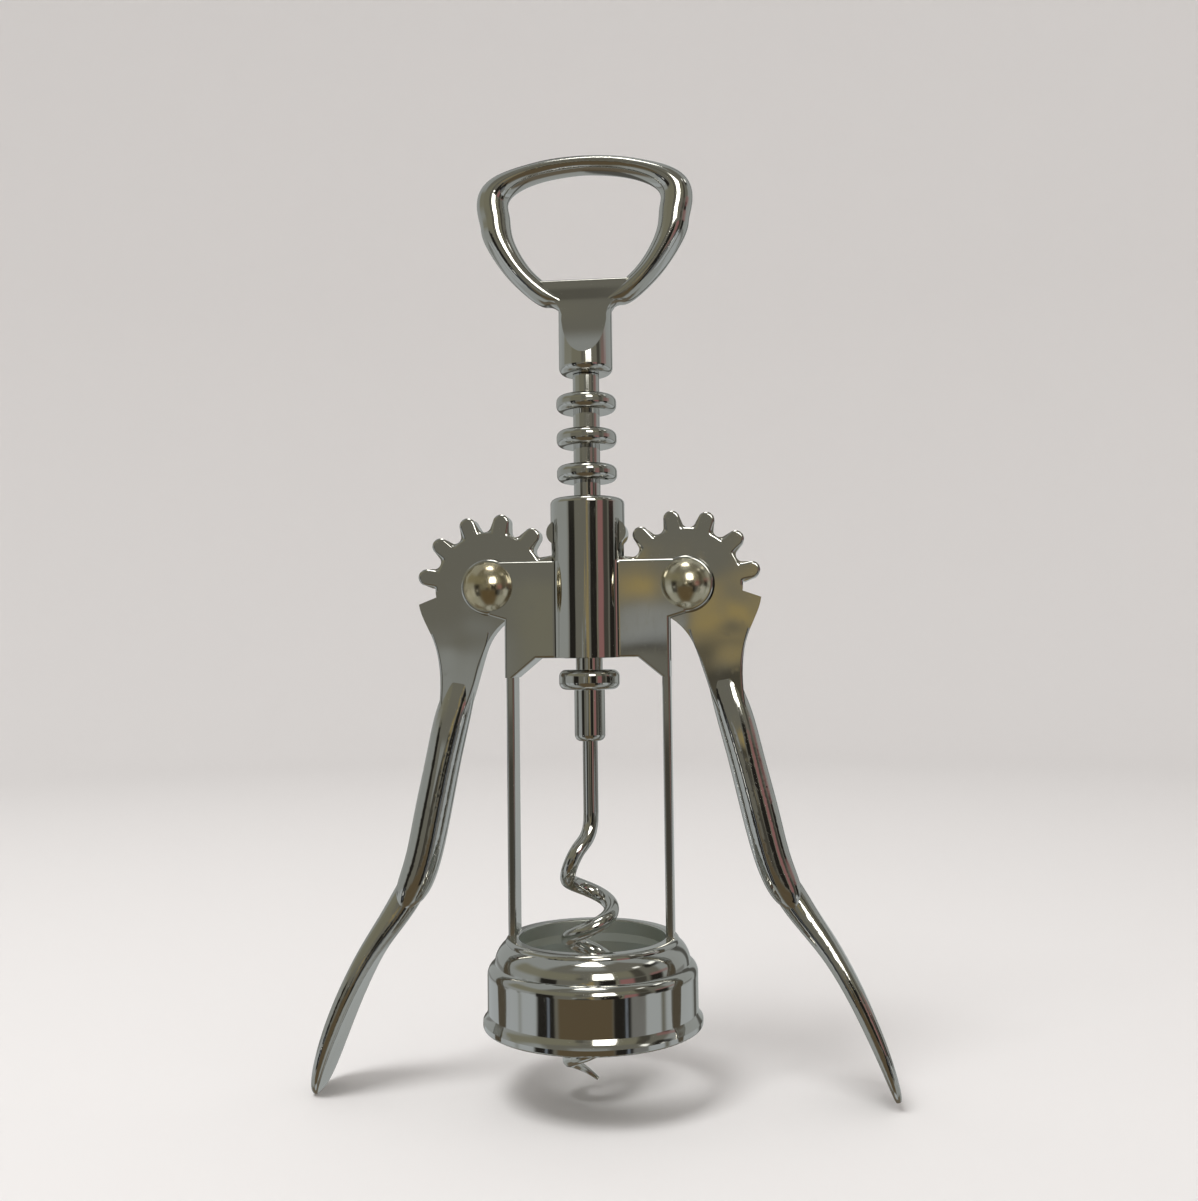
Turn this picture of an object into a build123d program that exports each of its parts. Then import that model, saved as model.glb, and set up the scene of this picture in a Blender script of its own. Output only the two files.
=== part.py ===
from build123d import *
from math import asin, atan2, cos, degrees, hypot, pi, radians, sin, sqrt
import os

os.makedirs("parts", exist_ok=True)

# A wing corkscrew, in millimetres. The origin is the centre of the bell's bottom rim, on the
# worm's axis; +Z runs up the tool to the handle, -Y is its front and +X its right.

# ---------------------------------------------------------------- driving dimensions
# rack and pinion
module = 2.0                    # the rack rings are pi * module apart
tooth_count = 12                # teeth that would fit round a full gear
teeth_cut = 7                   # full teeth on each lever, beside the shoulder tooth
tooth_width = 2.9
tooth_addendum = 1.2
tooth_dedendum = 2.05
tooth_foot_rise = 0.35          # of a tooth's straight flank above the gaps' floor
tooth_foot_spread = 0.3         # of each flank at its foot
gear_clearance = 0.5            # from the tooth tips to the slot they swing in
tooth_lean = 1.8                # degrees that the teeth rest below the middle of their gaps
lever_play = 0.8                # degrees more on the right lever and less on the left one
ring_radius = 5.38
ring_thickness = 3.0
ring_rounding = 1.2
foot_ring_thickness = 3.5
foot_ring_gap = 0.75            # at least, up to the next ring, as a share of the pitch
sleeve_wall = 0.98
sleeve_bore_clearance = 0.07

# pivots and rivets
pivot_z = 76.4
lever_plate_thickness = 3.8
lever_side_clearance = 0.2
rivet_radius = 2.25
rivet_running_clearance = 0.05
rivet_fit = 0.02
rivet_head_overhang = 2.05
rivet_head_height = 2.6
rivet_head_skirt = 0.35

# frame: bell, legs, cheek plates and tube
bell_height = 15.1
bell_wall_radius = 18.4
bell_wall_thickness = 2.1
bell_wall_bottom_z = 2.6
bell_flange_proud = 0.8
bell_flange_height = 1.1
bell_flange_cove = 3.2
bell_step_drop = 6.2            # from the lip down to the foot of the rounded step
bell_step_rounding = 2.1
bell_step_turn = 66.0           # degrees that the step turns before the dome rises from it
bell_dome_curve = 4.5
bell_lip_inset = 3.15
bell_lip_width = 2.4
bell_lip_rounding = 0.9
bell_rim_rounding = 0.35
bell_ceiling_drop = 2.5
bell_ceiling_cone = (1.8, 2.4)
leg_inset = 0.2                 # from the bell's opening to the inner face of a leg
leg_thickness = 1.4
leg_half_depth = 2.65
leg_foot_sink = 1.1             # of the leg into the bell's lip
cheek_thickness = 1.9
plate_top_rise = 4.3            # above the pivots
plate_bottom_drop = 12.7        # below the pivots
ear_foot_drop = 5.9             # below the pivots, where an ear meets its leg
ear_margin = 0.5                # round the rivet's head
ear_flare = 0.6                 # from the ear's face to its middle
gusset_drop = 3.4
gusset_run = 4.1
tube_wall = 1.05
tube_bore_clearance = 0.18      # round the rack rings
tube_rise = 15.6                # above the pivots
tube_top_rounding = 1.0
tube_foot_fillet = 1.4          # where the cheek plates meet the tube
slot_boss_rise = 9.4            # above the pivots, on the tube where each slot ends
slot_boss_height = 4.4
slot_boss_half_depth = 3.0
slot_boss_proud = 0.45
slot_boss_rounding = 2.15

# spindle: worm, collar, handle and pin
handle_lift = 22.4              # from the tube's top to the handle's neck, at rest
axial_clearance = 0.1
first_ring_drop = 5.3           # below the neck
foot_ring_drop = 3.85           # below the tube
wire_radius = 1.33
wire_fit = 0.02
helix_radius = 3.8
helix_offset = -0.4             # of the helix's axis from the shank's
helix_pitch = 10.4
helix_top_z = 24.6              # where the wire first reaches the helix, at its left
helix_turns = 2.95              # at the full section, from there down
bend_height = 11.9              # from there up to the straight shank
bend_waist = (-2.2, -2.3, 5.4)  # a point of the bend: across, front, and up from its start
point_turns = 0.33
point_drop = 1.5                # that the point sinks below the helix
point_stations = 6
point_tip_radius = 0.3
collar_wall = 1.39
collar_length = 9.0
collar_rounding = 1.1
shank_in_handle = 12.6
pin_radius = 0.6
pin_rise = 6.6                  # above the bottom of the neck
pin_past_shank = 0.9
neck_clearance = 0.75           # round the neck when it enters the tube
neck_rounding = 1.25
neck_length = 9.5               # the round part, below the taper into the tongue's back
neck_taper = 5.5
# half of the ring's bar, from the middle of its top to its end inside the neck: across from
# the axis, up from the neck's bottom, width and depth of the bar
handle_stations = [
    (0, 38.45, 3.0, 5.4), (4.4, 38.2, 3.1, 5.5), (8.7, 37.5, 3.25, 5.6), (12.6, 36.3, 3.8, 5.8),
    (15.8, 34.3, 5.2, 6.0), (16.7, 30.8, 5.8, 6.0), (16.1, 27.0, 5.5, 6.0), (14.7, 23.3, 4.8, 5.8),
    (12.5, 19.8, 4.3, 5.6), (9.8, 16.8, 4.0, 5.2), (6.6, 14.3, 3.6, 4.6), (3.0, 12.2, 3.0, 3.8),
]
# the tongue between the ring's ends, whose top edge is the cap lifter's lip
tongue_corner = (8.0, 17.0)
tongue_waist = (4.3, 11.6)
tongue_foot = (3.6, 9.0)
tongue_back = 2.4
tongue_edge_rounding = 0.45
scoop_half_width = 8.2
scoop_rise = 3.2                # of the scoop's lower end above the neck's bottom
scoop_waist = (3.1, 7.55)       # depth in front of the axis, and rise
lip_face_depth = 2.2

# lever: places out from the pivot and down from it
arm_reach = 88.4
shoulder_angle = -8.5
shoulder_past_tip = 0.1
shoulder_lean = 3               # degrees from the shoulder's root to its tip
sector_end_angle = 206.0
plate_outer_edge = [(12.75, -3.9), (10.65, -8.8), (9.55, -13.5), (9.4, -17.5), (10.5, -26.0)]
plate_inner_edge = [(6.8, -26.0), (3.3, -17.5), (2.15, -13.7), (0.6, -9.6), (-2.8, -5.9)]
# out, down as a share of the reach, width across the arm, depth front to back; the paddle
# starts inside the end of the bar, whose rounded nose stands proud of it
bar_stations = [
    (6.0, 0.164, 5.4, 3.6), (7.45, 0.249, 6.2, 5.0), (9.2, 0.328, 6.3, 5.9), (10.9, 0.413, 6.4, 6.4),
    (12.85, 0.512, 6.3, 6.7), (14.6, 0.577, 6.0, 6.9), (16.0, 0.612, 5.0, 6.6), (16.9, 0.632, 2.8, 5.6),
]
paddle_stations = [
    (13.0, 0.531, 4.0, 3.8), (14.6, 0.577, 4.6, 4.4), (16.8, 0.621, 5.1, 5.3), (19.2, 0.662, 4.5, 6.6),
    (22.55, 0.716, 3.6, 9.3), (25.9, 0.783, 3.1, 11.6), (28.85, 0.856, 2.8, 12.5), (31.25, 0.929, 2.2, 12.2),
    (32.5, 0.974, 1.6, 10.0), (33.1, 1.0, 0.9, 6.0),
]
arm_corner_share = 0.48         # of the smaller side of each section

# ---------------------------------------------------------------- values that follow
rack_pitch = pi * module
gear_pitch_radius = module * tooth_count / 2
gear_tip_radius = gear_pitch_radius + tooth_addendum
gear_root_radius = gear_pitch_radius - tooth_dedendum
tooth_step = 360 / tooth_count
pivot_x = gear_pitch_radius + ring_radius
slot_radius = gear_tip_radius + gear_clearance
slot_half_depth = lever_plate_thickness / 2 + lever_side_clearance
plate_half_depth = slot_half_depth + cheek_thickness

tube_bore_radius = ring_radius + tube_bore_clearance
tube_radius = tube_bore_radius + tube_wall
tube_top_z = pivot_z + tube_rise
plate_top_z = pivot_z + plate_top_rise
plate_bottom_z = pivot_z - plate_bottom_drop
rivet_head_radius = rivet_radius + rivet_head_overhang
ear_face_radius = rivet_head_radius + ear_margin
ear_radius = ear_face_radius + ear_flare

bell_bore_radius = bell_wall_radius - bell_wall_thickness
bell_flange_radius = bell_wall_radius + bell_flange_proud
bell_lip_radius = bell_wall_radius - bell_lip_inset
bell_opening_radius = bell_lip_radius - bell_lip_width
bell_ceiling_z = bell_height - bell_ceiling_drop
leg_inner_x = bell_opening_radius + leg_inset
leg_outer_x = leg_inner_x + leg_thickness
gusset_bottom_z = plate_bottom_z - gusset_drop

neck_bottom_z = tube_top_z + handle_lift
neck_radius = tube_bore_radius - neck_clearance
first_ring_z = neck_bottom_z - first_ring_drop
foot_ring_z = plate_bottom_z - foot_ring_drop
ring_count = int((first_ring_z - foot_ring_z) / rack_pitch - foot_ring_gap) + 1
ring_heights = [first_ring_z - rack_pitch * i for i in range(ring_count)]
sleeve_bore_radius = wire_radius + sleeve_bore_clearance
sleeve_radius = sleeve_bore_radius + sleeve_wall
sleeve_top_z = neck_bottom_z - axial_clearance
sleeve_bottom_z = foot_ring_z - foot_ring_thickness / 2
collar_top_z = sleeve_bottom_z - axial_clearance
collar_radius = wire_radius + collar_wall

# the gap between two rings that lies nearest below the pivots takes the first tooth
gap_z = max(z - rack_pitch / 2 for z in ring_heights if z - rack_pitch / 2 < pivot_z)
tooth_phase = degrees((pivot_z - gap_z) / gear_pitch_radius) + tooth_lean
tooth_angles = [180 + tooth_phase - tooth_step * i for i in range(teeth_cut)]
pivots = [(pivot_x, pivot_z), (-pivot_x, pivot_z)]


def polar(radius, angle):
    """The point at a radius and an angle in degrees about the origin."""
    return (radius * cos(radians(angle)), radius * sin(radians(angle)))


# ---------------------------------------------------------------- frame casting
# The bell is turned about the axis: flange, straight wall, rounded step, dome and a flat lip
# round the opening that the worm passes. A bottle's neck comes up inside it to the ceiling.
with BuildPart() as bell:
    with BuildSketch(Plane.XZ):
        with BuildLine():
            lip_out = (bell_lip_radius, bell_height - bell_lip_rounding)
            lip_top = (bell_lip_radius - bell_lip_rounding, bell_height)
            opening_rim = (bell_opening_radius + bell_rim_rounding, bell_height)
            opening_side = (bell_opening_radius, bell_height - bell_rim_rounding)
            opening_foot = (bell_opening_radius, bell_ceiling_z)
            ceiling_edge = (bell_bore_radius - bell_ceiling_cone[0], bell_ceiling_z)
            bore_top = (bell_bore_radius, bell_ceiling_z - bell_ceiling_cone[1])
            bore_foot = (bell_bore_radius, 0)
            flange_foot = (bell_flange_radius - bell_rim_rounding, 0)
            flange_side = (bell_flange_radius, bell_rim_rounding)
            flange_top = (bell_flange_radius, bell_flange_height)
            wall_foot = (bell_wall_radius, bell_wall_bottom_z)
            step_foot = (bell_wall_radius, bell_height - bell_step_drop)
            step_centre = (bell_wall_radius - bell_step_rounding, bell_height - bell_step_drop)
            step_run = polar(bell_step_rounding, bell_step_turn)
            dome_foot = (step_centre[0] + step_run[0], step_centre[1] + step_run[1])
            Polyline(flange_foot, bore_foot, bore_top, ceiling_edge, opening_foot, opening_side)
            RadiusArc(opening_side, opening_rim, bell_rim_rounding)
            Line(opening_rim, lip_top)
            RadiusArc(lip_top, lip_out, bell_lip_rounding)
            RadiusArc(lip_out, dome_foot, bell_dome_curve)
            RadiusArc(dome_foot, step_foot, bell_step_rounding)
            Line(step_foot, wall_foot)
            RadiusArc(wall_foot, flange_top, -bell_flange_cove)
            Line(flange_top, flange_side)
            RadiusArc(flange_side, flange_foot, bell_rim_rounding)
        make_face()
    revolve(axis=Axis.Z)

# An ear's lower edge runs from its corner on the leg to touch the ear's circle.
ear_corner = (leg_outer_x, pivot_z - ear_foot_drop)
to_pivot = hypot(pivot_x - ear_corner[0], pivot_z - ear_corner[1])
pivot_angle = atan2(pivot_z - ear_corner[1], pivot_x - ear_corner[0])
tangent_angle = degrees(pivot_angle - asin(ear_face_radius / to_pivot))
tangent_run = polar(sqrt(to_pivot**2 - ear_face_radius**2), tangent_angle)
ear_touch = (ear_corner[0] + tangent_run[0], ear_corner[1] + tangent_run[1])

with BuildPart() as bell_frame:
    add(bell.part)
    # cheek plates and gussets, as one block that the slots part afterwards
    with BuildSketch(Plane.XZ):
        with BuildLine():
            Polyline(
                (0, plate_top_z), (pivot_x, plate_top_z), (pivot_x, pivot_z), ear_touch,
                ear_corner, (leg_outer_x, gusset_bottom_z), (leg_inner_x, gusset_bottom_z),
                (leg_inner_x - gusset_run, plate_bottom_z), (0, plate_bottom_z), close=True,
            )
        make_face()
        mirror(about=Plane.YZ)
        with Locations(*pivots):
            Circle(ear_face_radius)
    extrude(amount=plate_half_depth, both=True)
    # each ear is a boss that widens from its face to the slot
    for x, z in pivots:
        for face in (-1, 1):
            ear_plane = Plane(origin=(x, 0, z), x_dir=(1, 0, 0), z_dir=(0, face, 0))
            with BuildSketch(ear_plane):
                Circle(ear_radius)
            with BuildSketch(ear_plane.offset(plate_half_depth)):
                Circle(ear_face_radius)
            loft()
    # tube, with a boss at each side where the slots end
    with BuildSketch(Plane.XY.offset(plate_bottom_z)):
        Circle(tube_radius)
    extrude(amount=tube_top_z - plate_bottom_z)
    fillet(faces().sort_by(Axis.Z)[-1].edges(), tube_top_rounding)
    corners = edges(Select.ALL).filter_by(Axis.Z).filter_by_position(Axis.X, -tube_radius, tube_radius)
    fillet(corners.group_by(Axis.Y)[0] + corners.group_by(Axis.Y)[-1], tube_foot_fillet)
    with BuildSketch(Plane.XZ):
        with Locations((0, pivot_z + slot_boss_rise)):
            RectangleRounded(2 * (tube_radius + slot_boss_proud), slot_boss_height, slot_boss_rounding)
    extrude(amount=slot_boss_half_depth, both=True)
    # legs, from inside the bell's lip to the gussets
    with BuildSketch(Plane.XY.offset(bell_height - leg_foot_sink)):
        with Locations((leg_inner_x + leg_thickness / 2, 0), (-leg_inner_x - leg_thickness / 2, 0)):
            Rectangle(leg_thickness, 2 * leg_half_depth)
    extrude(amount=gusset_bottom_z - bell_height + leg_foot_sink + gusset_drop / 2)
    # bore for the rack, slots for the geared ends of the levers, holes for the rivets
    with BuildSketch(Plane.XY.offset(plate_bottom_z)):
        Circle(tube_bore_radius)
    extrude(amount=tube_top_z - plate_bottom_z, mode=Mode.SUBTRACT)
    with BuildSketch(Plane.XZ):
        with Locations(*pivots):
            Circle(slot_radius)
    extrude(amount=slot_half_depth, both=True, mode=Mode.SUBTRACT)
    with BuildSketch(Plane.XZ):
        with Locations(*pivots):
            Circle(rivet_radius + rivet_fit)
    extrude(amount=plate_half_depth, both=True, mode=Mode.SUBTRACT)

# ---------------------------------------------------------------- pivot rivets
# Two steel rivets, domed at both ends, that the levers turn on.
with BuildPart() as pivot_rivets:
    for x, z in pivots:
        with BuildSketch(Plane(origin=(x, 0, z), x_dir=(1, 0, 0), z_dir=(0, 0, 1))):
            with BuildLine():
                crown_y = plate_half_depth + rivet_head_height
                skirt_y = plate_half_depth + rivet_head_skirt
                # a dome of the head's radius at its skirt and the head's height at its crown
                dome = rivet_head_height - rivet_head_skirt
                dome_radius = (rivet_head_radius**2 + dome**2) / (2 * dome)
                RadiusArc((0, crown_y), (rivet_head_radius, skirt_y), dome_radius)
                Polyline(
                    (rivet_head_radius, skirt_y), (rivet_head_radius, plate_half_depth),
                    (rivet_radius, plate_half_depth), (rivet_radius, -plate_half_depth),
                    (rivet_head_radius, -plate_half_depth), (rivet_head_radius, -skirt_y),
                )
                RadiusArc((rivet_head_radius, -skirt_y), (0, -crown_y), dome_radius)
                Line((0, -crown_y), (0, crown_y))
            make_face()
        revolve(axis=Axis((x, 0, z), (0, 1, 0)))

# ---------------------------------------------------------------- rack sleeve
# One turned steel sleeve: a round rack whose rings the levers' teeth work between, with a
# thicker ring at its foot.
with BuildPart() as rack_sleeve:
    with BuildSketch(Plane.XY.offset(sleeve_bottom_z)):
        Circle(sleeve_radius)
    extrude(amount=sleeve_top_z - sleeve_bottom_z)
    rings = [(z, ring_thickness) for z in ring_heights] + [(foot_ring_z, foot_ring_thickness)]
    for z, thickness in rings:
        with BuildSketch(Plane.XZ):
            with Locations((ring_radius / 2, z)):
                ring = Rectangle(ring_radius, thickness)
            fillet(ring.vertices().group_by(Axis.X)[-1], ring_rounding)
        revolve(axis=Axis.Z)
    with BuildSketch(Plane.XY.offset(sleeve_bottom_z)):
        Circle(sleeve_bore_radius)
    extrude(amount=sleeve_top_z - sleeve_bottom_z, mode=Mode.SUBTRACT)


# ---------------------------------------------------------------- levers
def tooth_point(angle, out, across):
    """A point of the tooth at an angle: out along it, and across to its anticlockwise side."""
    a = radians(angle)
    return (out * cos(a) - across * sin(a), out * sin(a) + across * cos(a))


def square_planes(centres):
    """The planes square to a line of places in the XZ plane, one at each place."""
    planes = []
    for i, centre in enumerate(centres):
        along = centres[min(i + 1, len(centres) - 1)] - centres[max(i - 1, 0)]
        planes.append(Plane(origin=centre, x_dir=(0, 1, 0), z_dir=along))
    return planes


tip_centre = gear_tip_radius - tooth_width / 2
foot_out = gear_root_radius + tooth_foot_rise
foot_across = tooth_width / 2 + tooth_foot_spread

# The right lever, about its pivot: a flat toothed head and an arm forged to a round bar and a
# curved paddle. The left one is its mirror image.
with BuildPart() as lever:
    with BuildSketch(Plane.XZ):
        # toothed sector
        with BuildLine():
            for i, angle in enumerate(tooth_angles):
                far_foot = tooth_point(angle, foot_out, foot_across)
                far_flank = tooth_point(angle, tip_centre, tooth_width / 2)
                tip = tooth_point(angle, gear_tip_radius, 0)
                near_flank = tooth_point(angle, tip_centre, -tooth_width / 2)
                near_foot = tooth_point(angle, foot_out, -foot_across)
                Line(far_foot, far_flank)
                ThreePointArc(far_flank, tip, near_flank)
                Line(near_flank, near_foot)
                if i < teeth_cut - 1:
                    root = polar(gear_root_radius, angle - tooth_step / 2)
                    next_foot = tooth_point(angle - tooth_step, foot_out, foot_across)
                    ThreePointArc(near_foot, root, next_foot)
            first_foot = tooth_point(tooth_angles[0], foot_out, foot_across)
            Polyline(near_foot, (0, 0), first_foot)
        make_face()
        # head of the arm, with the shoulder that stands for one more tooth
        with BuildLine():
            shoulder_root = polar(gear_root_radius, shoulder_angle)
            shoulder_tip = polar(gear_tip_radius + shoulder_past_tip, shoulder_angle - shoulder_lean)
            sector_end = polar(gear_root_radius, sector_end_angle)
            Line(shoulder_root, shoulder_tip)
            Spline([shoulder_tip] + plate_outer_edge)
            Line(plate_outer_edge[-1], plate_inner_edge[0])
            Spline(plate_inner_edge + [sector_end])
            ThreePointArc(sector_end, polar(gear_root_radius, 90), shoulder_root)
        make_face()
    extrude(amount=lever_plate_thickness / 2, both=True)
    # bar and paddle
    for stations in (bar_stations, paddle_stations):
        centres = [Vector(out, 0, -share * arm_reach) for out, share, _, _ in stations]
        for plane, (_, _, width, depth) in zip(square_planes(centres), stations):
            with BuildSketch(plane):
                RectangleRounded(depth, width, arm_corner_share * min(width, depth))
        loft()
    with BuildSketch(Plane.XZ):
        Circle(rivet_radius + rivet_running_clearance)
    extrude(amount=lever_plate_thickness / 2, both=True, mode=Mode.SUBTRACT)

with BuildPart() as right_lever:
    with Locations(Location((pivot_x, 0, pivot_z), (0, -lever_play, 0))):
        add(lever.part)

with BuildPart() as left_lever:
    with Locations(Location((-pivot_x, 0, pivot_z), (0, -lever_play, 0))):
        add(mirror(lever.part, about=Plane.YZ, mode=Mode.PRIVATE))


# ---------------------------------------------------------------- worm
# A round steel wire: straight up through the sleeve into the handle, a bend below, a
# right-handed helix and a long ground point.
def helix_at(turns, drop=0, steepness=0):
    """The plane square to the wire at some turns below the helix's top, centred on the wire; it
    may drop below the helix and sink faster by a steepness, in millimetres a turn."""
    angle = radians(180 - 360 * turns)
    x, y = polar(helix_radius, 180 - 360 * turns)
    along = (-helix_radius * sin(angle), helix_radius * cos(angle), (helix_pitch + steepness) / (2 * pi))
    return Plane(origin=(helix_offset + x, y, helix_top_z - helix_pitch * turns - drop), z_dir=along)


bend_end_z = helix_top_z + bend_height
shank_top_z = neck_bottom_z + shank_in_handle
pin_z = neck_bottom_z + pin_rise

with BuildPart() as worm:
    with BuildSketch(Plane.XY.offset(bend_end_z)):
        Circle(wire_radius)
    extrude(amount=shank_top_z - bend_end_z)
    # bend
    with BuildLine():
        start = helix_at(0)
        waist = (bend_waist[0], bend_waist[1], helix_top_z + bend_waist[2])
        Spline(start.origin, waist, (0, 0, bend_end_z), tangents=[start.z_dir, (0, 0, 1)])
    with BuildSketch(start):
        Circle(wire_radius)
    sweep()
    # helix
    bottom = helix_at(helix_turns)
    with BuildLine():
        coil = Helix(helix_pitch, helix_pitch * helix_turns, helix_radius, mode=Mode.PRIVATE)
        turned = coil.rotate(Axis.Z, 180 - 360 * helix_turns)
        add(turned.translate((helix_offset, 0, bottom.origin.Z)))
    with BuildSketch(bottom):
        Circle(wire_radius)
    sweep(is_frenet=True)
    # point
    for i in range(point_stations + 1):
        share = i / point_stations
        steepness = 2 * point_drop * share / point_turns
        with BuildSketch(helix_at(helix_turns + point_turns * share, point_drop * share**2, steepness)):
            Circle(wire_radius + (point_tip_radius - wire_radius) * share)
    loft()
    # hole for the pin
    with BuildSketch(Plane.XZ):
        with Locations((0, pin_z)):
            Circle(pin_radius + wire_fit)
    extrude(amount=wire_radius, both=True, mode=Mode.SUBTRACT)

# ---------------------------------------------------------------- collar
# A pressed steel ferrule that keeps the rack sleeve on the worm's shank.
with BuildPart() as worm_collar:
    with BuildSketch(Plane.XY.offset(collar_top_z)):
        Circle(collar_radius)
    extrude(amount=-collar_length)
    fillet(edges().filter_by(GeomType.CIRCLE).sort_by(Axis.Z)[0], collar_rounding)
    with BuildSketch(Plane.XY.offset(collar_top_z)):
        Circle(wire_radius + wire_fit)
    extrude(amount=-collar_length, mode=Mode.SUBTRACT)

# ---------------------------------------------------------------- handle
# A cast ring to turn the worm by, with a cap-lifter lip across the bottom of its opening and a
# scooped face that runs from the lip down the round neck.
def above_neck(point, side=1):
    """A place across and above the neck's bottom, as a point of the XZ plane."""
    return (side * point[0], neck_bottom_z + point[1])


with BuildPart() as handle:
    # neck, tapered into the tongue's back
    with BuildSketch(Plane.XY.offset(neck_bottom_z)):
        Circle(neck_radius)
    extrude(amount=neck_length)
    fillet(faces().sort_by(Axis.Z)[0].edges(), neck_rounding)
    neck_top = Plane.XY.offset(neck_bottom_z + neck_length)
    with BuildSketch(neck_top):
        Circle(neck_radius)
    with BuildSketch(neck_top.offset(neck_taper)):
        Ellipse(neck_radius, tongue_back)
    loft()
    # tongue
    with BuildSketch(Plane.XZ.offset(-tongue_back)):
        with BuildLine():
            Polyline(*[above_neck(point) for point in (tongue_foot, tongue_waist, tongue_corner)],
                     *[above_neck(point, -1) for point in (tongue_corner, tongue_waist, tongue_foot)],
                     close=True)
        make_face()
    extrude(amount=tongue_back + scoop_waist[0])
    # scoop, from the lip's face down to the front of the neck
    with BuildSketch(Plane.YZ.offset(-scoop_half_width)):
        with BuildLine():
            scoop_foot = (-neck_radius, neck_bottom_z + scoop_rise)
            scoop_middle = (-scoop_waist[0], neck_bottom_z + scoop_waist[1])
            scoop_top = (-lip_face_depth, neck_bottom_z + tongue_corner[1])
            ThreePointArc(scoop_foot, scoop_middle, scoop_top)
            Polyline(scoop_top, (-2 * neck_radius, neck_bottom_z + tongue_corner[1]),
                     (-2 * neck_radius, neck_bottom_z + scoop_rise), scoop_foot)
        make_face()
    extrude(amount=2 * scoop_half_width, mode=Mode.SUBTRACT)
    fillet(faces().sort_by(Axis.Z)[-1].edges().filter_by(Axis.X), tongue_edge_rounding)
    # ring
    stations = [(-across, *rest) for across, *rest in handle_stations[:0:-1]] + handle_stations
    centres = [Vector(across, 0, neck_bottom_z + rise) for across, rise, _, _ in stations]
    for plane, (_, _, width, depth) in zip(square_planes(centres), stations):
        with BuildSketch(plane):
            Ellipse(depth / 2, width / 2)
    loft()
    # bore for the shank and, from behind, for the pin
    with BuildSketch(Plane.XY.offset(neck_bottom_z)):
        Circle(wire_radius + wire_fit)
    extrude(amount=shank_in_handle + wire_fit, mode=Mode.SUBTRACT)
    with BuildSketch(Plane.XZ.offset(wire_radius + pin_past_shank)):
        with Locations((0, pin_z)):
            Circle(pin_radius + wire_fit)
    extrude(amount=-(wire_radius + pin_past_shank + neck_radius), mode=Mode.SUBTRACT)

# ---------------------------------------------------------------- handle pin
# A plain steel pin, driven in from behind, that fixes the shank in the handle.
with BuildPart() as handle_pin:
    with BuildSketch(Plane.XZ.offset(wire_radius + pin_past_shank - wire_fit)):
        with Locations((0, pin_z)):
            Circle(pin_radius)
    extrude(amount=-(wire_radius + pin_past_shank + sqrt(neck_radius**2 - pin_radius**2) - wire_fit))

# ---------------------------------------------------------------- write the pieces
pieces = {
    "bell_frame": bell_frame,
    "pivot_rivets": pivot_rivets,
    "rack_sleeve": rack_sleeve,
    "left_lever": left_lever,
    "right_lever": right_lever,
    "worm": worm,
    "worm_collar": worm_collar,
    "handle": handle,
    "handle_pin": handle_pin,
}
for name, piece in pieces.items():
    piece.part.label = name
    export_step(piece.part, f"parts/{name}.step")
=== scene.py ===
from math import cos, sin

import bpy
import numpy as np
from mathutils import Matrix, Vector


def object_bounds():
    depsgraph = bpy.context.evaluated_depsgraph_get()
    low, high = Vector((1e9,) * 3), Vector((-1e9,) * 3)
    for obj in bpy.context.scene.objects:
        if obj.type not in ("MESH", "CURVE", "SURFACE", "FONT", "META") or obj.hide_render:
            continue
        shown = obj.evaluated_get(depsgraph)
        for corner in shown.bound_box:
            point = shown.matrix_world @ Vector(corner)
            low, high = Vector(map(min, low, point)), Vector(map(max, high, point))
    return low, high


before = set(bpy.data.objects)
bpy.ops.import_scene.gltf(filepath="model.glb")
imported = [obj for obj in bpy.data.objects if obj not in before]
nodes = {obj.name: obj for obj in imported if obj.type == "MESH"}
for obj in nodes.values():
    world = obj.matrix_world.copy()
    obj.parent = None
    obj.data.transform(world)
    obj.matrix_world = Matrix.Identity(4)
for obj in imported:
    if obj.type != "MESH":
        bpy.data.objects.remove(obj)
cad_box = [list(corner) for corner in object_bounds()]

# ---------------------------------------------------------------------------------------------
# The frame: one zinc casting, tumbled, polished and plated with bright chrome. Polishing leaves
# the flat faces slightly wavy, and handling leaves hairlines and a thin film on them.

# the outline of the flat faces, in millimetres across from the middle and up
PIVOT_ACROSS, PIVOT_UP, EAR_RADIUS = 17.38, 76.4, 4.8
LEG_INSIDE, LEG_OUTSIDE = 13.05, 14.45
PLATE_FOOT, PLATE_TOP = 63.7, 80.7
EAR_FOOT, EAR_NORMAL = (LEG_OUTSIDE, 70.5), (-0.289, 0.957)
GUSSET_TOP, GUSSET_NORMAL, GUSSET_FOOT = (8.95, PLATE_FOOT), (0.638, 0.769), 60.3
FRAME_EDGE = 0.4
# just past the plates' faces, the bell's top, its bore and the mouth above that
HALF_DEPTH, BELL_TOP = 4.05, 15.3
BORE_RADIUS, BORE_TOP, MOUTH_RADIUS, MOUTH_TOP = 16.36, 12.66, 12.9, 14.9
# what hairlines and the satin add to the roughness, and the satin's tone
HAIRLINE_DULL, SATIN_DULL, SATIN_TONE = 0.12, 0.34, (0.62, 0.65, 0.61, 1)


def new_group(name, inputs, outputs):
    """A shader node group with its sockets; each input is (name, kind, value)."""
    group = bpy.data.node_groups.new(name, "ShaderNodeTree")
    for label, kind, value in inputs:
        socket = group.interface.new_socket(label, in_out="INPUT", socket_type=kind)
        socket.default_value = value
    for label, kind in outputs:
        group.interface.new_socket(label, in_out="OUTPUT", socket_type=kind)
    return group


def add(tree, kind, **settings):
    """Adds a node, with its settings and, by name or number, its input values."""
    node = tree.nodes.new(kind)
    values = settings.pop("values", {})
    for key, value in settings.items():
        setattr(node, key, value)
    for key, value in values.items():
        node.inputs[key].default_value = value
    return node


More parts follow.
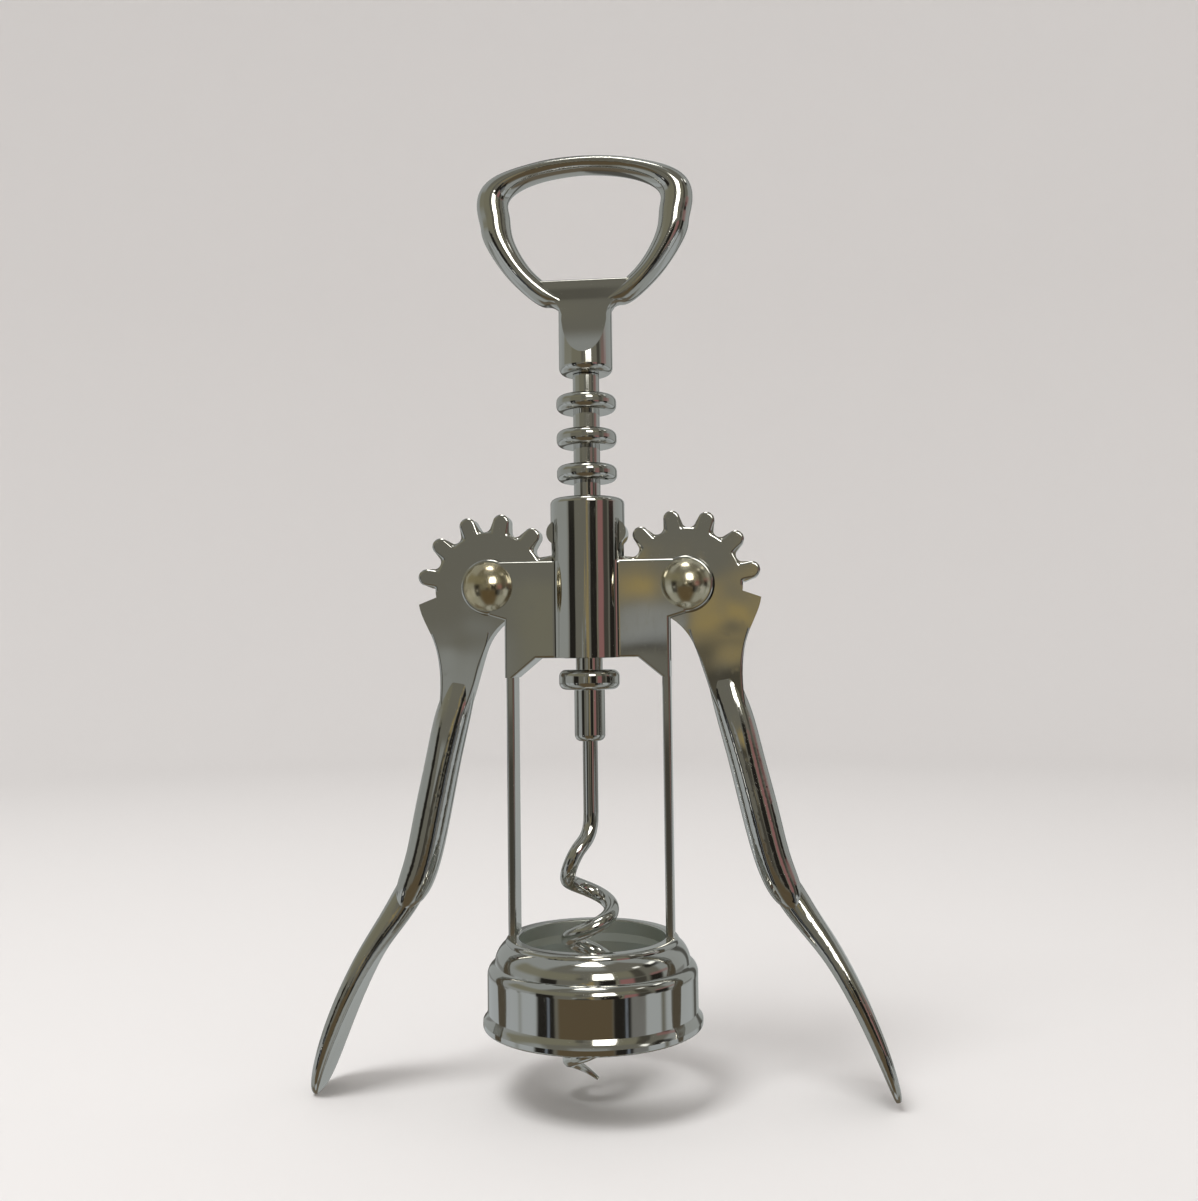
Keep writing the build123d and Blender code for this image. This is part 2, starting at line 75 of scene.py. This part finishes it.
def calc(tree, operation, *terms):
    """A math node's output; each term is a number, or another node's output."""
    node = add(tree, "ShaderNodeMath", operation=operation)
    for place, term in enumerate(terms):
        if isinstance(term, (int, float)):
            node.inputs[place].default_value = term
        else:
            tree.links.new(term, node.inputs[place])
    return node.outputs[0]


def length(tree, a, b):
    """The length of a line from the origin to (a, b)."""
    squares = calc(tree, "ADD", calc(tree, "MULTIPLY", a, a), calc(tree, "MULTIPLY", b, b))
    return calc(tree, "SQRT", squares)


def beyond(tree, x, z, point, normal):
    """How far (x, z) lies past a line through a point, along the line's normal."""
    across = calc(tree, "MULTIPLY", calc(tree, "SUBTRACT", x, point[0]), normal[0])
    up = calc(tree, "MULTIPLY", calc(tree, "SUBTRACT", z, point[1]), normal[1])
    return calc(tree, "ADD", across, up)


def noise(tree, place, scale, detail, roughness=0.5):
    """A noise texture's output at a place."""
    texture = add(tree, "ShaderNodeTexNoise",
                  values={"Scale": scale, "Detail": detail, "Roughness": roughness})
    tree.links.new(place, texture.inputs["Vector"])
    return texture.outputs["Fac"]


def millimetres(tree):
    """Where a point of the piece is, in millimetres: the outputs across, to the back and up."""
    place = add(tree, "ShaderNodeTexCoord")
    parts = add(tree, "ShaderNodeSeparateXYZ")
    tree.links.new(place.outputs["Object"], parts.inputs[0])
    return [calc(tree, "MULTIPLY", parts.outputs[axis], 1000.0) for axis in ("X", "Y", "Z")]


def rounded_edge(tree, depth, width):
    """The height, in metres, of a face whose edge is rounded over a width, where a point lies at
    a depth inside its outline: it falls by half the width with the square of what is left."""
    left = add(tree, "ShaderNodeMath", operation="SUBTRACT", use_clamp=True, values={0: 1.0})
    tree.links.new(calc(tree, "DIVIDE", depth, width), left.inputs[1])
    fall = calc(tree, "MULTIPLY", left.outputs[0], left.outputs[0])
    return calc(tree, "MULTIPLY", fall, -0.0005 * width)


def chrome_group():
    """Bright chrome on a casting: a soft tone that drifts over the surface, a film that dulls it
    in patches, hairlines in two directions, and the long low waves that polishing leaves."""
    group = new_group(
        "chrome plate",
        [("Clean", "NodeSocketColor", (0.62, 0.615, 0.59, 1)),
         ("Brassy", "NodeSocketColor", (0.56, 0.50, 0.36, 1)),
         ("Brassy amount", "NodeSocketFloat", 0.10),
         ("Roughness", "NodeSocketFloat", 0.045),
         ("Film", "NodeSocketFloat", 0.05),
         ("Hairlines", "NodeSocketFloat", 0.5),
         ("Wave height", "NodeSocketFloat", 0.00006),
         ("Edge height", "NodeSocketFloat", 0.0),
         ("Satin", "NodeSocketFloat", 0.0)],
        [("Color", "NodeSocketColor"), ("Roughness", "NodeSocketFloat"),
         ("Normal", "NodeSocketVector")])
    link = group.links.new
    put = add(group, "NodeGroupInput")
    out = add(group, "NodeGroupOutput")
    place = add(group, "ShaderNodeTexCoord").outputs["Object"]
    # tone
    patch = add(group, "ShaderNodeMapRange", interpolation_type="SMOOTHSTEP",
                values={"From Min": 0.42, "From Max": 0.72})
    link(noise(group, place, 55.0, 3.0), patch.inputs["Value"])
    share = calc(group, "MULTIPLY", patch.outputs["Result"], put.outputs["Brassy amount"])
    tone = add(group, "ShaderNodeMix", data_type="RGBA")
    link(share, tone.inputs["Factor"])
    link(put.outputs["Clean"], tone.inputs[6])
    link(put.outputs["Brassy"], tone.inputs[7])
    # hairlines: noise stretched along two directions
    lines = []
    for turn, stretch in (((0.2, 0.3, 0.9), (1.0, 24.0, 1.0)), ((0.1, -0.2, -0.4), (30.0, 1.0, 1.0))):
        mapping = add(group, "ShaderNodeMapping", values={"Rotation": turn, "Scale": stretch})
        link(place, mapping.inputs["Vector"])
        line = add(group, "ShaderNodeMapRange", values={"From Min": 0.66, "From Max": 0.74})
        link(noise(group, mapping.outputs["Vector"], 300.0, 2.0), line.inputs["Value"])
        lines.append(line.outputs["Result"])
    scratch = calc(group, "MULTIPLY", calc(group, "MAXIMUM", *lines), put.outputs["Hairlines"])
    # roughness: the polish, with the film in patches and the hairlines
    cloud = noise(group, place, 140.0, 4.0, 0.6)
    filmed = calc(group, "MULTIPLY_ADD", cloud, put.outputs["Film"], put.outputs["Roughness"])
    rough = calc(group, "MULTIPLY_ADD", scratch, HAIRLINE_DULL, filmed)
    # satin where the polishing wheel doesn't reach
    dull = calc(group, "MULTIPLY_ADD", put.outputs["Satin"], SATIN_DULL, rough)
    pale = add(group, "ShaderNodeMix", data_type="RGBA")
    pale.inputs[7].default_value = SATIN_TONE
    link(put.outputs["Satin"], pale.inputs["Factor"])
    link(tone.outputs[2], pale.inputs[6])
    # waves under the plate, and worn edges
    wave = calc(group, "MULTIPLY", noise(group, place, 75.0, 1.0), put.outputs["Wave height"])
    bump = add(group, "ShaderNodeBump", values={"Strength": 1.0, "Distance": 1.0})
    link(calc(group, "ADD", wave, put.outputs["Edge height"]), bump.inputs["Height"])
    link(pale.outputs[2], out.inputs["Color"])
    link(dull, out.inputs["Roughness"])
    link(bump.outputs["Normal"], out.inputs["Normal"])
    return group


chrome = chrome_group()


def plated(name, values):
    """A polished metal made with the group above, with values given by the group's socket names."""
    material = bpy.data.materials.new(name)
    material.use_nodes = True
    tree = material.node_tree
    shader = tree.nodes["Principled BSDF"]
    shader.inputs["Metallic"].default_value = 1.0
    plate = add(tree, "ShaderNodeGroup", node_tree=chrome, values=values)
    tree.links.new(plate.outputs["Color"], shader.inputs["Base Color"])
    tree.links.new(plate.outputs["Roughness"], shader.inputs["Roughness"])
    tree.links.new(plate.outputs["Normal"], shader.inputs["Normal"])
    return material


def shape_in(material, group, values, sockets):
    """Feeds a material's plate group from another group; sockets says which of the plate's
    sockets takes which of that group's outputs."""
    tree = material.node_tree
    plate = next(node for node in tree.nodes if node.type == "GROUP")
    shape = add(tree, "ShaderNodeGroup", node_tree=group, values=values)
    for socket, output in sockets.items():
        tree.links.new(shape.outputs[output], plate.inputs[socket])


def dress(node, material):
    """Gives a CAD node its finish."""
    nodes[node].data.materials.clear()
    nodes[node].data.materials.append(material)


def frame_shape():
    """Where the frame is worn round its edges, and where it is satin. The cheek plates are a block
    with two round ears, and gussets down to the legs; a leg is a strip; the satin is inside the
    bell. Each distance is positive within its outline."""
    group = new_group("frame shape", [], [("Height", "NodeSocketFloat"), ("Inside", "NodeSocketFloat")])
    out = add(group, "NodeGroupOutput")
    x, y, z = millimetres(group)
    x = calc(group, "ABSOLUTE", x)
    deep = calc(group, "ABSOLUTE", y)
    # cheek plates
    low = calc(group, "MAXIMUM", calc(group, "SUBTRACT", z, PLATE_FOOT),
               beyond(group, x, z, GUSSET_TOP, GUSSET_NORMAL))
    to_side = calc(group, "SUBTRACT", LEG_OUTSIDE, x)
    shoulder = calc(group, "MINIMUM", beyond(group, x, z, EAR_FOOT, EAR_NORMAL),
                    calc(group, "SUBTRACT", PIVOT_ACROSS, x))
    block = calc(group, "MINIMUM", calc(group, "SUBTRACT", PLATE_TOP, z), low)
    block = calc(group, "MINIMUM", block, calc(group, "MAXIMUM", to_side, shoulder))
    to_pivot = length(group, calc(group, "SUBTRACT", x, PIVOT_ACROSS), calc(group, "SUBTRACT", z, PIVOT_UP))
    plate = calc(group, "MAXIMUM", block, calc(group, "SUBTRACT", EAR_RADIUS, to_pivot))
    # legs, below the gussets
    leg = calc(group, "MINIMUM", to_side, calc(group, "SUBTRACT", x, LEG_INSIDE))
    above = calc(group, "GREATER_THAN", z, GUSSET_FOOT)
    depth = calc(group, "MULTIPLY_ADD", above, calc(group, "SUBTRACT", plate, leg), leg)
    flat = calc(group, "MULTIPLY", calc(group, "LESS_THAN", deep, HALF_DEPTH),
                calc(group, "GREATER_THAN", z, BELL_TOP))
    height = calc(group, "MULTIPLY", rounded_edge(group, depth, FRAME_EDGE), flat)
    group.links.new(height, out.inputs["Height"])
    # inside the bell
    radius = length(group, x, deep)
    bore = calc(group, "MULTIPLY", calc(group, "LESS_THAN", radius, BORE_RADIUS),
                calc(group, "LESS_THAN", z, BORE_TOP))
    mouth = calc(group, "MULTIPLY", calc(group, "LESS_THAN", radius, MOUTH_RADIUS),
                 calc(group, "LESS_THAN", z, MOUTH_TOP))
    group.links.new(calc(group, "MAXIMUM", bore, mouth), out.inputs["Inside"])
    return group


frame_chrome = plated("frame chrome", {"Wave height": 0.0001})
shape_in(frame_chrome, frame_shape(), {}, {"Edge height": "Height", "Satin": "Inside"})
dress("bell_frame", frame_chrome)

# ---------------------------------------------------------------------------------------------
# The rivets: two steel pins through the frame's ears, domed at both ends, that the levers turn
# on. They are headed over on the bench, which leaves the domes softer and warmer in tone.

dress("pivot_rivets", plated("rivet chrome", {
    "Clean": (0.66, 0.61, 0.47, 1), "Brassy": (0.62, 0.50, 0.28, 1), "Brassy amount": 0.8,
    "Roughness": 0.15, "Film": 0.08, "Wave height": 0.00012}))

# ---------------------------------------------------------------------------------------------
# The rack sleeve: a turned steel tube with rings that the levers' teeth work between, plated
# with nickel and chrome over the machined face. It slides in the frame's tube.

dress("rack_sleeve", plated("rack chrome", {}))

# ---------------------------------------------------------------------------------------------
# The levers: two zinc castings, mirror images, plated like the frame. They are polished harder
# on the bar than on the flat toothed head, which turns on its rivet between the cheek plates.

# in degrees, and in millimetres from the pivot
TOOTH_ANGLE, TOOTH_STEP = 190.67, 30.0
TEETH_MIDDLE, TEETH_REACH = 100.0, 103.0
TOOTH_HALF_WIDTH, TIP_CENTRE, ROOT_RADIUS, ROOT_FLOW = 1.45, 11.75, 9.95, 0.8
HEAD_FACE, HEAD_FACE_PLAY, HEAD_EDGE = 1.9, 0.05, 0.45
ARM_TOP, ARM_SPAN, FAR_INSIDE = -8.0, 26.0, 5.0
LEVER_LEAN = 0.014
# the arm's flat part: (share of the way up ARM_SPAN to the pivot, distance outwards)
OUTER_EDGE = ((0, 10.5), (0.327, 9.4), (0.481, 9.55), (0.662, 10.65), (0.85, 12.75), (1, 14.5))
INNER_EDGE = ((0, 6.8), (0.327, 3.3), (0.473, 2.15), (0.631, 0.6), (0.773, 0.0), (1, 0.0))
CURVE_SCALE = 15.0


def edge_curve(tree, share, places):
    """How far out an edge of the arm lies, as a curve over the share of the way up."""
    curve = add(tree, "ShaderNodeFloatCurve")
    points = curve.mapping.curves[0].points
    points[0].location = (0, places[0][1] / CURVE_SCALE)
    points[1].location = (1, places[-1][1] / CURVE_SCALE)
    for where, distance in places[1:-1]:
        points.new(where, distance / CURVE_SCALE)
    curve.mapping.update()
    tree.links.new(share, curve.inputs["Value"])
    return calc(tree, "MULTIPLY", curve.outputs[0], CURVE_SCALE)


def lever_shape():
    """The rounded edges of a lever's flat head, about its pivot: teeth with round tips stand
    every 30 degrees on a disc, and below it the head narrows between two curved edges."""
    group = new_group(
        "lever shape", [("Side", "NodeSocketFloat", 1.0), ("Lean", "NodeSocketFloat", LEVER_LEAN)],
        [("Height", "NodeSocketFloat")])
    put = add(group, "NodeGroupInput")
    out = add(group, "NodeGroupOutput")
    x, y, z = millimetres(group)
    # from the pivot, on the right side, turned back by the lean
    out_x = calc(group, "SUBTRACT", calc(group, "MULTIPLY", x, put.outputs["Side"]), PIVOT_ACROSS)
    up_z = calc(group, "SUBTRACT", z, PIVOT_UP)
    x = calc(group, "MULTIPLY_ADD", up_z, put.outputs["Lean"], out_x)
    z = calc(group, "SUBTRACT", up_z, calc(group, "MULTIPLY", out_x, put.outputs["Lean"]))
    # toothed disc
    radius = length(group, x, z)
    angle = calc(group, "DEGREES", calc(group, "ARCTAN2", z, x))
    from_tooth = calc(group, "SUBTRACT", angle, TOOTH_ANGLE - TOOTH_STEP / 2)
    turn = calc(group, "SUBTRACT", calc(group, "FLOORED_MODULO", from_tooth, TOOTH_STEP), TOOTH_STEP / 2)
    turn = calc(group, "RADIANS", turn)
    aside = calc(group, "MULTIPLY", radius, calc(group, "SINE", turn))
    along = calc(group, "MULTIPLY", radius, calc(group, "COSINE", turn))
    past_tip = calc(group, "MAXIMUM", calc(group, "SUBTRACT", along, TIP_CENTRE), 0.0)
    tooth = calc(group, "SUBTRACT", TOOTH_HALF_WIDTH, length(group, aside, past_tip))
    disc = calc(group, "SUBTRACT", ROOT_RADIUS, radius)
    head = calc(group, "SMOOTH_MAX", tooth, disc, ROOT_FLOW)
    # the arm's flat part, between its edges
    share = calc(group, "DIVIDE", calc(group, "ADD", z, ARM_SPAN), ARM_SPAN)
    to_outer = calc(group, "SUBTRACT", edge_curve(group, share, OUTER_EDGE), x)
    to_inner = calc(group, "SUBTRACT", x, edge_curve(group, share, INNER_EDGE))
    arm = calc(group, "MINIMUM", to_outer, to_inner)
    low = calc(group, "LESS_THAN", z, ARM_TOP)
    arm = calc(group, "MULTIPLY_ADD", low, calc(group, "SUBTRACT", arm, FAR_INSIDE), FAR_INSIDE)
    # the teeth are round the top, the arm is below
    away = calc(group, "FLOORED_MODULO", calc(group, "ADD", angle, 180.0 - TEETH_MIDDLE), 360.0)
    away = calc(group, "ABSOLUTE", calc(group, "SUBTRACT", away, 180.0))
    toothed = calc(group, "LESS_THAN", away, TEETH_REACH)
    depth = calc(group, "MULTIPLY_ADD", toothed, calc(group, "SUBTRACT", head, arm), arm)
    face = calc(group, "COMPARE", calc(group, "ABSOLUTE", y), HEAD_FACE, HEAD_FACE_PLAY)
    height = calc(group, "MULTIPLY", rounded_edge(group, depth, HEAD_EDGE), face)
    group.links.new(height, out.inputs["Height"])
    return group


lever_edges = lever_shape()
for node, side in (("left_lever", -1.0), ("right_lever", 1.0)):
    lever_chrome = plated(node.replace("_", " ") + " chrome", {"Wave height": 0.0002})
    shape_in(lever_chrome, lever_edges, {"Side": side, "Lean": LEVER_LEAN * side},
             {"Edge height": "Height"})
    dress(node, lever_chrome)

# ---------------------------------------------------------------------------------------------
# The worm: a drawn steel wire, straight through the sleeve into the handle and wound to a helix
# below. It is ground to a point and plated.

dress("worm", plated("worm chrome", {}))

# ---------------------------------------------------------------------------------------------
# The collar: a steel ferrule pressed on the worm's shank, and plated. It keeps the rack sleeve
# up against the handle.

dress("worm_collar", plated("collar chrome", {}))

# ---------------------------------------------------------------------------------------------
# The handle: a cast ring with the cap-lifter lip, a scooped face and a round neck. It is polished
# smoother than the frame, and chrome plated.

dress("handle", plated("handle chrome", {"Hairlines": 0.25, "Film": 0.03, "Wave height": 0.00002}))

# ---------------------------------------------------------------------------------------------
# The pin: plain bright steel, driven in from behind through the handle's neck. It holds the
# worm's shank in the handle.

dress("handle_pin", plated("pin steel", {"Clean": (0.5, 0.5, 0.5, 1)}))

# ---------------------------------------------------------------------------------------------
# The studio: a pale bowl that is floor and backdrop in one, and a soft lamp above. Round the
# tool stands a room of pale walls, dark cards and lit panels that only the chrome mirrors.

FLOOR_GAP = 0.0002
FLOOR_Z = cad_box[0][2] - FLOOR_GAP
BOWL_FLAT, BOWL_CURVE, BOWL_WALL = 0.7, 0.5, 1.3
CURVE_STEPS, TURN_STEPS = 25, 96
BOWL_COLOUR = (0.80, 0.785, 0.775, 1)


def sheet(name, points, closed):
    """A mesh of four-sided faces on a grid of points; if closed, its last row meets the first."""
    rows, columns = points.shape[:2]
    i, j = np.meshgrid(np.arange(rows if closed else rows - 1), np.arange(columns - 1), indexing="ij")
    k = (i + 1) % rows
    faces = np.stack((i * columns + j, i * columns + j + 1, k * columns + j + 1, k * columns + j), -1)
    mesh = bpy.data.meshes.new(name)
    mesh.from_pydata(points.reshape(-1, 3).tolist(), [], faces.reshape(-1, 4).tolist())
    return mesh


def bowl(name, material):
    """A profile turned about Z: flat to BOWL_FLAT, a quarter circle of BOWL_CURVE, then a wall.
    A point is (r cos t, r sin t, z), for t round the full circle."""
    quarter = np.linspace(0, np.pi / 2, CURVE_STEPS)
    r = np.concatenate(([0.0], BOWL_FLAT + BOWL_CURVE * np.sin(quarter), [BOWL_FLAT + BOWL_CURVE]))
    z = np.concatenate(([0.0], BOWL_CURVE * (1 - np.cos(quarter)), [BOWL_WALL])) + FLOOR_Z
    t = np.linspace(0, 2 * np.pi, TURN_STEPS, endpoint=False)
    points = np.stack((np.outer(np.cos(t), r), np.outer(np.sin(t), r), np.tile(z, (t.size, 1))), -1)
    mesh = sheet(name, points, closed=True)
    mesh.polygons.foreach_set("use_smooth", np.ones(len(mesh.polygons), bool))
    thing = bpy.data.objects.new(name, mesh)
    bpy.context.scene.collection.objects.link(thing)
    mesh.materials.append(material)
    thing.visible_glossy = False


floor_paint = bpy.data.materials.new("floor paint")
floor_paint.use_nodes = True
floor_shader = floor_paint.node_tree.nodes["Principled BSDF"]
floor_shader.inputs["Base Color"].default_value = BOWL_COLOUR
floor_shader.inputs["Roughness"].default_value = 0.8
floor_shader.inputs["Specular IOR Level"].default_value = 0.1
bowl("floor", floor_paint)

# the room's paints, and what stands round the tool: paint, azimuth from the front towards the
# right, elevation, half width, half height, edge, and how much it covers
WHITE, PALE, GREY = (0.47, 0.50, 0.51), (0.38, 0.40, 0.39), (0.22, 0.22, 0.21)
DARK, BLACK = (0.06, 0.055, 0.045), (0.015, 0.013, 0.011)
CLOTH, WOOD, GOLD = (0.24, 0.23, 0.165), (0.13, 0.097, 0.055), (0.44, 0.33, 0.12)
ROSE, BLUE = (0.33, 0.16, 0.155), (0.22, 0.25, 0.29)
LAMP, FAINT_LAMP = (5.8, 5.7, 5.3), (1.7, 1.7, 1.6)
ROOM = [
    (PALE, 180, 5, 62, 80, 26, 1.0),        # wall behind
    (PALE, -180, 5, 62, 80, 26, 1.0),
    (DARK, 152, 5, 5, 60, 4, 0.85),         # dark posts on the wall behind
    (DARK, -163, 5, 8, 60, 4, 0.85),
    (PALE, -104, 10, 46, 75, 14, 0.85),     # left wall, with a low shelf
    (WHITE, -118, -17, 30, 7, 6, 0.9),
    (PALE, 110, 10, 17, 75, 8, 0.85),       # right wall, with a low shelf
    (WHITE, 116, -17, 26, 7, 6, 0.9),
    (CLOTH, -55, 25, 44, 13, 12, 0.9),      # warm cloth, high on both sides
    (CLOTH, 34, 28, 30, 12, 12, 0.85),
    (PALE, -80, -46, 36, 22, 14, 0.9),      # floor, pale at both sides
    (PALE, 80, -46, 36, 22, 14, 0.9),
    (WOOD, 0, -50, 36, 27, 20, 0.95),       # table tops, in front and behind
    (WOOD, 180, -60, 90, 16, 12, 0.85),
    (WOOD, -180, -60, 90, 16, 12, 0.85),
    (GREY, -98, -5.5, 50, 2.4, 2.5, 0.85),  # skirting
    (GREY, 108, -5.5, 30, 2.4, 2.5, 0.85),
    (WHITE, 0, -86, 181, 9, 8, 1.0),        # floor straight below
    (WHITE, -66, -16, 10, 13, 4.0, 0.95),   # lit doorway on the left
    (WHITE, -88, -16, 7, 13, 4.0, 0.95),
    (BLACK, -45, -11, 10, 20, 3.5, 0.95),   # dark edge of a door
    (BLUE, -42, -16, 1.4, 10, 1.5, 0.8),
    (WOOD, -2, -20, 29, 8, 4, 0.95),        # wooden table's edge
    (DARK, -5, -7.5, 8, 4.5, 2, 0.9),
    (GOLD, 4.5, 2, 2.5, 7, 4, 0.6),         # golden lamp glow
    (BLACK, 23, 0, 10, 10, 3, 0.96),        # black card
    (CLOTH, 33.5, 1, 1.3, 8, 1.5, 0.9),
    (ROSE, 46, 1, 9, 9, 3, 0.95),           # rose card
    (BLACK, 38, -20, 10, 12, 3, 0.95),      # dark things on the right
    (BLUE, 42, -18, 1.4, 10, 1.5, 0.85),
    (GREY, 55, -18, 8, 12, 4, 0.9),
    (DARK, 62, -2, 8, 12, 5, 0.9),
    (DARK, 62, 26, 7, 14, 6, 0.85),
    (WHITE, 74, -17, 10, 12, 3.5, 0.95),    # pale card, low on the right
    (BLACK, 84, 1, 9, 9, 4, 0.95),          # black cards
    (BLACK, 94, 40, 12, 6, 6, 0.9),
    (CLOTH, -8.6, 1.4, 1.5, 2.2, 1.5, 0.7),  # small things right in front
    (PALE, -13.4, -1.2, 2.2, 2.4, 2, 0.7),
    (DARK, -9, 19, 4.5, 4.5, 3, 0.5),
    (GOLD, -4.2, 3.9, 1.2, 1.0, 0.8, 0.9),
    (WHITE, -3.6, 1.7, 1.6, 0.5, 0.9, 0.85),
    (DARK, -3.6, 0.7, 1.6, 0.5, 0.8, 0.95),
    (GOLD, 0.3, 2.0, 1.5, 1.5, 1.6, 0.8),
    (BLACK, 0.1, -0.8, 1.8, 0.7, 1, 0.9),
    (ROSE, 90, 12, 14, 3.5, 3, 0.6),        # rose cloth on the right
    (FAINT_LAMP, 72, 46, 5, 2, 3, 1.0),
    (FAINT_LAMP, 101, 44, 7, 3, 3, 1.0),
    (PALE, 0, 83, 181, 8, 6, 0.9),          # ceiling, with its lamps
    (PALE, 0, 66, 28, 13, 14, 0.7),
    (LAMP, -3, 79.5, 40, 7.5, 3, 1.0),
    (LAMP, 18, 26, 12, 11, 3, 1.0),
    (FAINT_LAMP, -45, -12, 1.6, 1.6, 2, 0.9),  # small lamps, low at both sides
    (FAINT_LAMP, 62, -12, 1.6, 1.6, 2, 0.9),
]
ROOM_BASE = (0.185, 0.180, 0.150)
ROOM_RADIUS = 20.0
# in degrees: the mesh's steps all round, and in front within a width and a height
ROOM_STEP, FRONT_STEP, FRONT_WIDTH, FRONT_HEIGHT = 1.5, 0.5, 54, 24


def room_colours(azimuth, elevation):
    """The room's colour in each direction, in degrees. A panel covers what is under it where the
    direction is within its half width and half height of its middle, with a smooth edge."""
    colours = np.tile(np.array(ROOM_BASE), (*azimuth.shape, 1))
    for paint, across, up, half_width, half_height, soft, cover in ROOM:
        beside = np.clip((half_width + soft / 2 - np.abs(azimuth - across)) / soft, 0, 1)
        above = np.clip((half_height + soft / 2 - np.abs(elevation - up)) / soft, 0, 1)
        mask = cover * beside**2 * (3 - 2 * beside) * above**2 * (3 - 2 * above)
        colours += mask[..., None] * (np.array(paint) - colours)
    return colours


def finer_in_front(whole, front):
    """Angles from -whole to whole, in small steps between -front and front."""
    steps = np.arange(-whole, whole + 0.1, ROOM_STEP)
    return np.unique(np.concatenate((steps, np.arange(-front, front, FRONT_STEP))))


def room(name):
    """A sphere of ROOM_RADIUS, finer in front, that only mirrors see. A point at an azimuth a
    from the front and an elevation e is R (sin a cos e, -cos a cos e, sin e)."""
    azimuth, elevation = np.meshgrid(
        finer_in_front(180, FRONT_WIDTH), finer_in_front(90, FRONT_HEIGHT), indexing="ij")
    a, e = np.radians(azimuth), np.radians(elevation)
    points = ROOM_RADIUS * np.stack((np.sin(a) * np.cos(e), -np.cos(a) * np.cos(e), np.sin(e)), -1)
    mesh = sheet(name, points, closed=False)
    paint = mesh.color_attributes.new("paint", "FLOAT_COLOR", "POINT")
    colours = room_colours(azimuth, elevation)
    rgba = np.concatenate((colours, np.ones((*azimuth.shape, 1))), -1)
    paint.data.foreach_set("color", rgba.astype(np.float32).ravel())
    material = bpy.data.materials.new("room glow")
    material.use_nodes = True
    tree = material.node_tree
    tree.nodes.clear()
    painted = add(tree, "ShaderNodeAttribute", attribute_name="paint")
    glow = add(tree, "ShaderNodeEmission")
    out = add(tree, "ShaderNodeOutputMaterial")
    tree.links.new(painted.outputs["Color"], glow.inputs["Color"])
    tree.links.new(glow.outputs[0], out.inputs["Surface"])
    material.cycles.emission_sampling = "NONE"
    mesh.materials.append(material)
    thing = bpy.data.objects.new(name, mesh)
    bpy.context.scene.collection.objects.link(thing)
    thing.visible_camera = False
    thing.visible_diffuse = False
    thing.visible_transmission = False
    thing.visible_shadow = False


room("room")

world = bpy.data.worlds.new("studio")
bpy.context.scene.world = world
world.use_nodes = True
world.node_tree.nodes["Background"].inputs["Color"].default_value = BOWL_COLOUR

LAMP_PLACE, LAMP_AIM, LAMP_SIDE, LAMP_POWER = (-0.25, -0.35, 0.9), (0, 0, 0.05), 0.35, 5

lamp = bpy.data.lights.new("ceiling lamp", "AREA")
lamp.shape, lamp.size, lamp.size_y = "RECTANGLE", LAMP_SIDE, LAMP_SIDE
lamp.energy = LAMP_POWER
soft_box = bpy.data.objects.new("ceiling lamp", lamp)
bpy.context.scene.collection.objects.link(soft_box)
soft_box.location = LAMP_PLACE
soft_box.rotation_euler = (Vector(LAMP_AIM) - Vector(LAMP_PLACE)).to_track_quat("-Z", "Y").to_euler()
soft_box.visible_glossy = False

# the focal length in pixels of a frame with this height, and where the camera stands: its
# distance from a target, its azimuth and elevation from there, and its roll, in radians
FOCAL_PIXELS, FRAME_HEIGHT, SENSOR = 1199.45, 1201, 36
CAMERA_TARGET, CAMERA_DISTANCE = (0.00187, 0, 0.07384), 0.21341
CAMERA_AZIMUTH, CAMERA_ELEVATION, CAMERA_ROLL = 0.103847, -0.050091, -0.012217

camera_data = bpy.data.cameras.new("camera")
camera_data.sensor_fit = "AUTO"
camera_data.sensor_width = SENSOR
camera_data.lens = FOCAL_PIXELS * SENSOR / FRAME_HEIGHT
camera_data.clip_start = 0.01
camera = bpy.data.objects.new("camera", camera_data)
bpy.context.scene.collection.objects.link(camera)
bpy.context.scene.camera = camera


def camera_turn(azimuth, elevation, roll):
    """The way from the target to the camera, and the camera's axes: it looks from an azimuth to
    the right of the front and an elevation above it, then rolls about its line of sight."""
    back = Vector((sin(azimuth) * cos(elevation), -cos(azimuth) * cos(elevation), sin(elevation)))
    right = Vector((cos(azimuth), sin(azimuth), 0))
    up = back.cross(right)
    turned_right = right * cos(roll) + up * sin(roll)
    turned_up = up * cos(roll) - right * sin(roll)
    return back, Matrix((turned_right, turned_up, back)).transposed()


back, turn = camera_turn(CAMERA_AZIMUTH, CAMERA_ELEVATION, CAMERA_ROLL)
camera_place = Vector(CAMERA_TARGET) + back * CAMERA_DISTANCE
camera.matrix_world = Matrix.Translation(camera_place) @ turn.to_4x4()
bpy.context.scene.view_settings.view_transform = "Standard"
